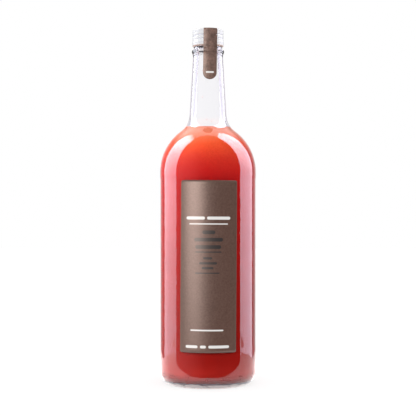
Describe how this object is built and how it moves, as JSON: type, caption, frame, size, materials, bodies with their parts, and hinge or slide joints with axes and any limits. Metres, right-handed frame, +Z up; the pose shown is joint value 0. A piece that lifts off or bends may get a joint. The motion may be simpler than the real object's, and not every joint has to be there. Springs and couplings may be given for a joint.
{
  "type": "tomato juice bottle",
  "caption": "Round clear glass bottle with a long neck, full of tomato juice, closed by a rolled-on cap with a paper seal strip over it, and a tall front label.",
  "frame": {"origin": "centre of the standing ring, on the bottle's axis", "axes": "+Z up along the bottle's axis, -Y towards the front, where the label is, +X to the right seen from the front"},
  "size_m": [0.0852, 0.0852, 0.3146],
  "materials": {
    "clear_glass": "gloss",
    "tomato_juice": "gloss",
    "cap_lacquer": "gloss",
    "label_paper": "satin",
    "strip_paper": "satin"
  },
  "bodies": {
    "root": {"bottle": "clear_glass", "juice": "tomato_juice", "cap": "cap_lacquer", "label": "label_paper", "seal_strip": "strip_paper"}
  },
  "joints": []
}
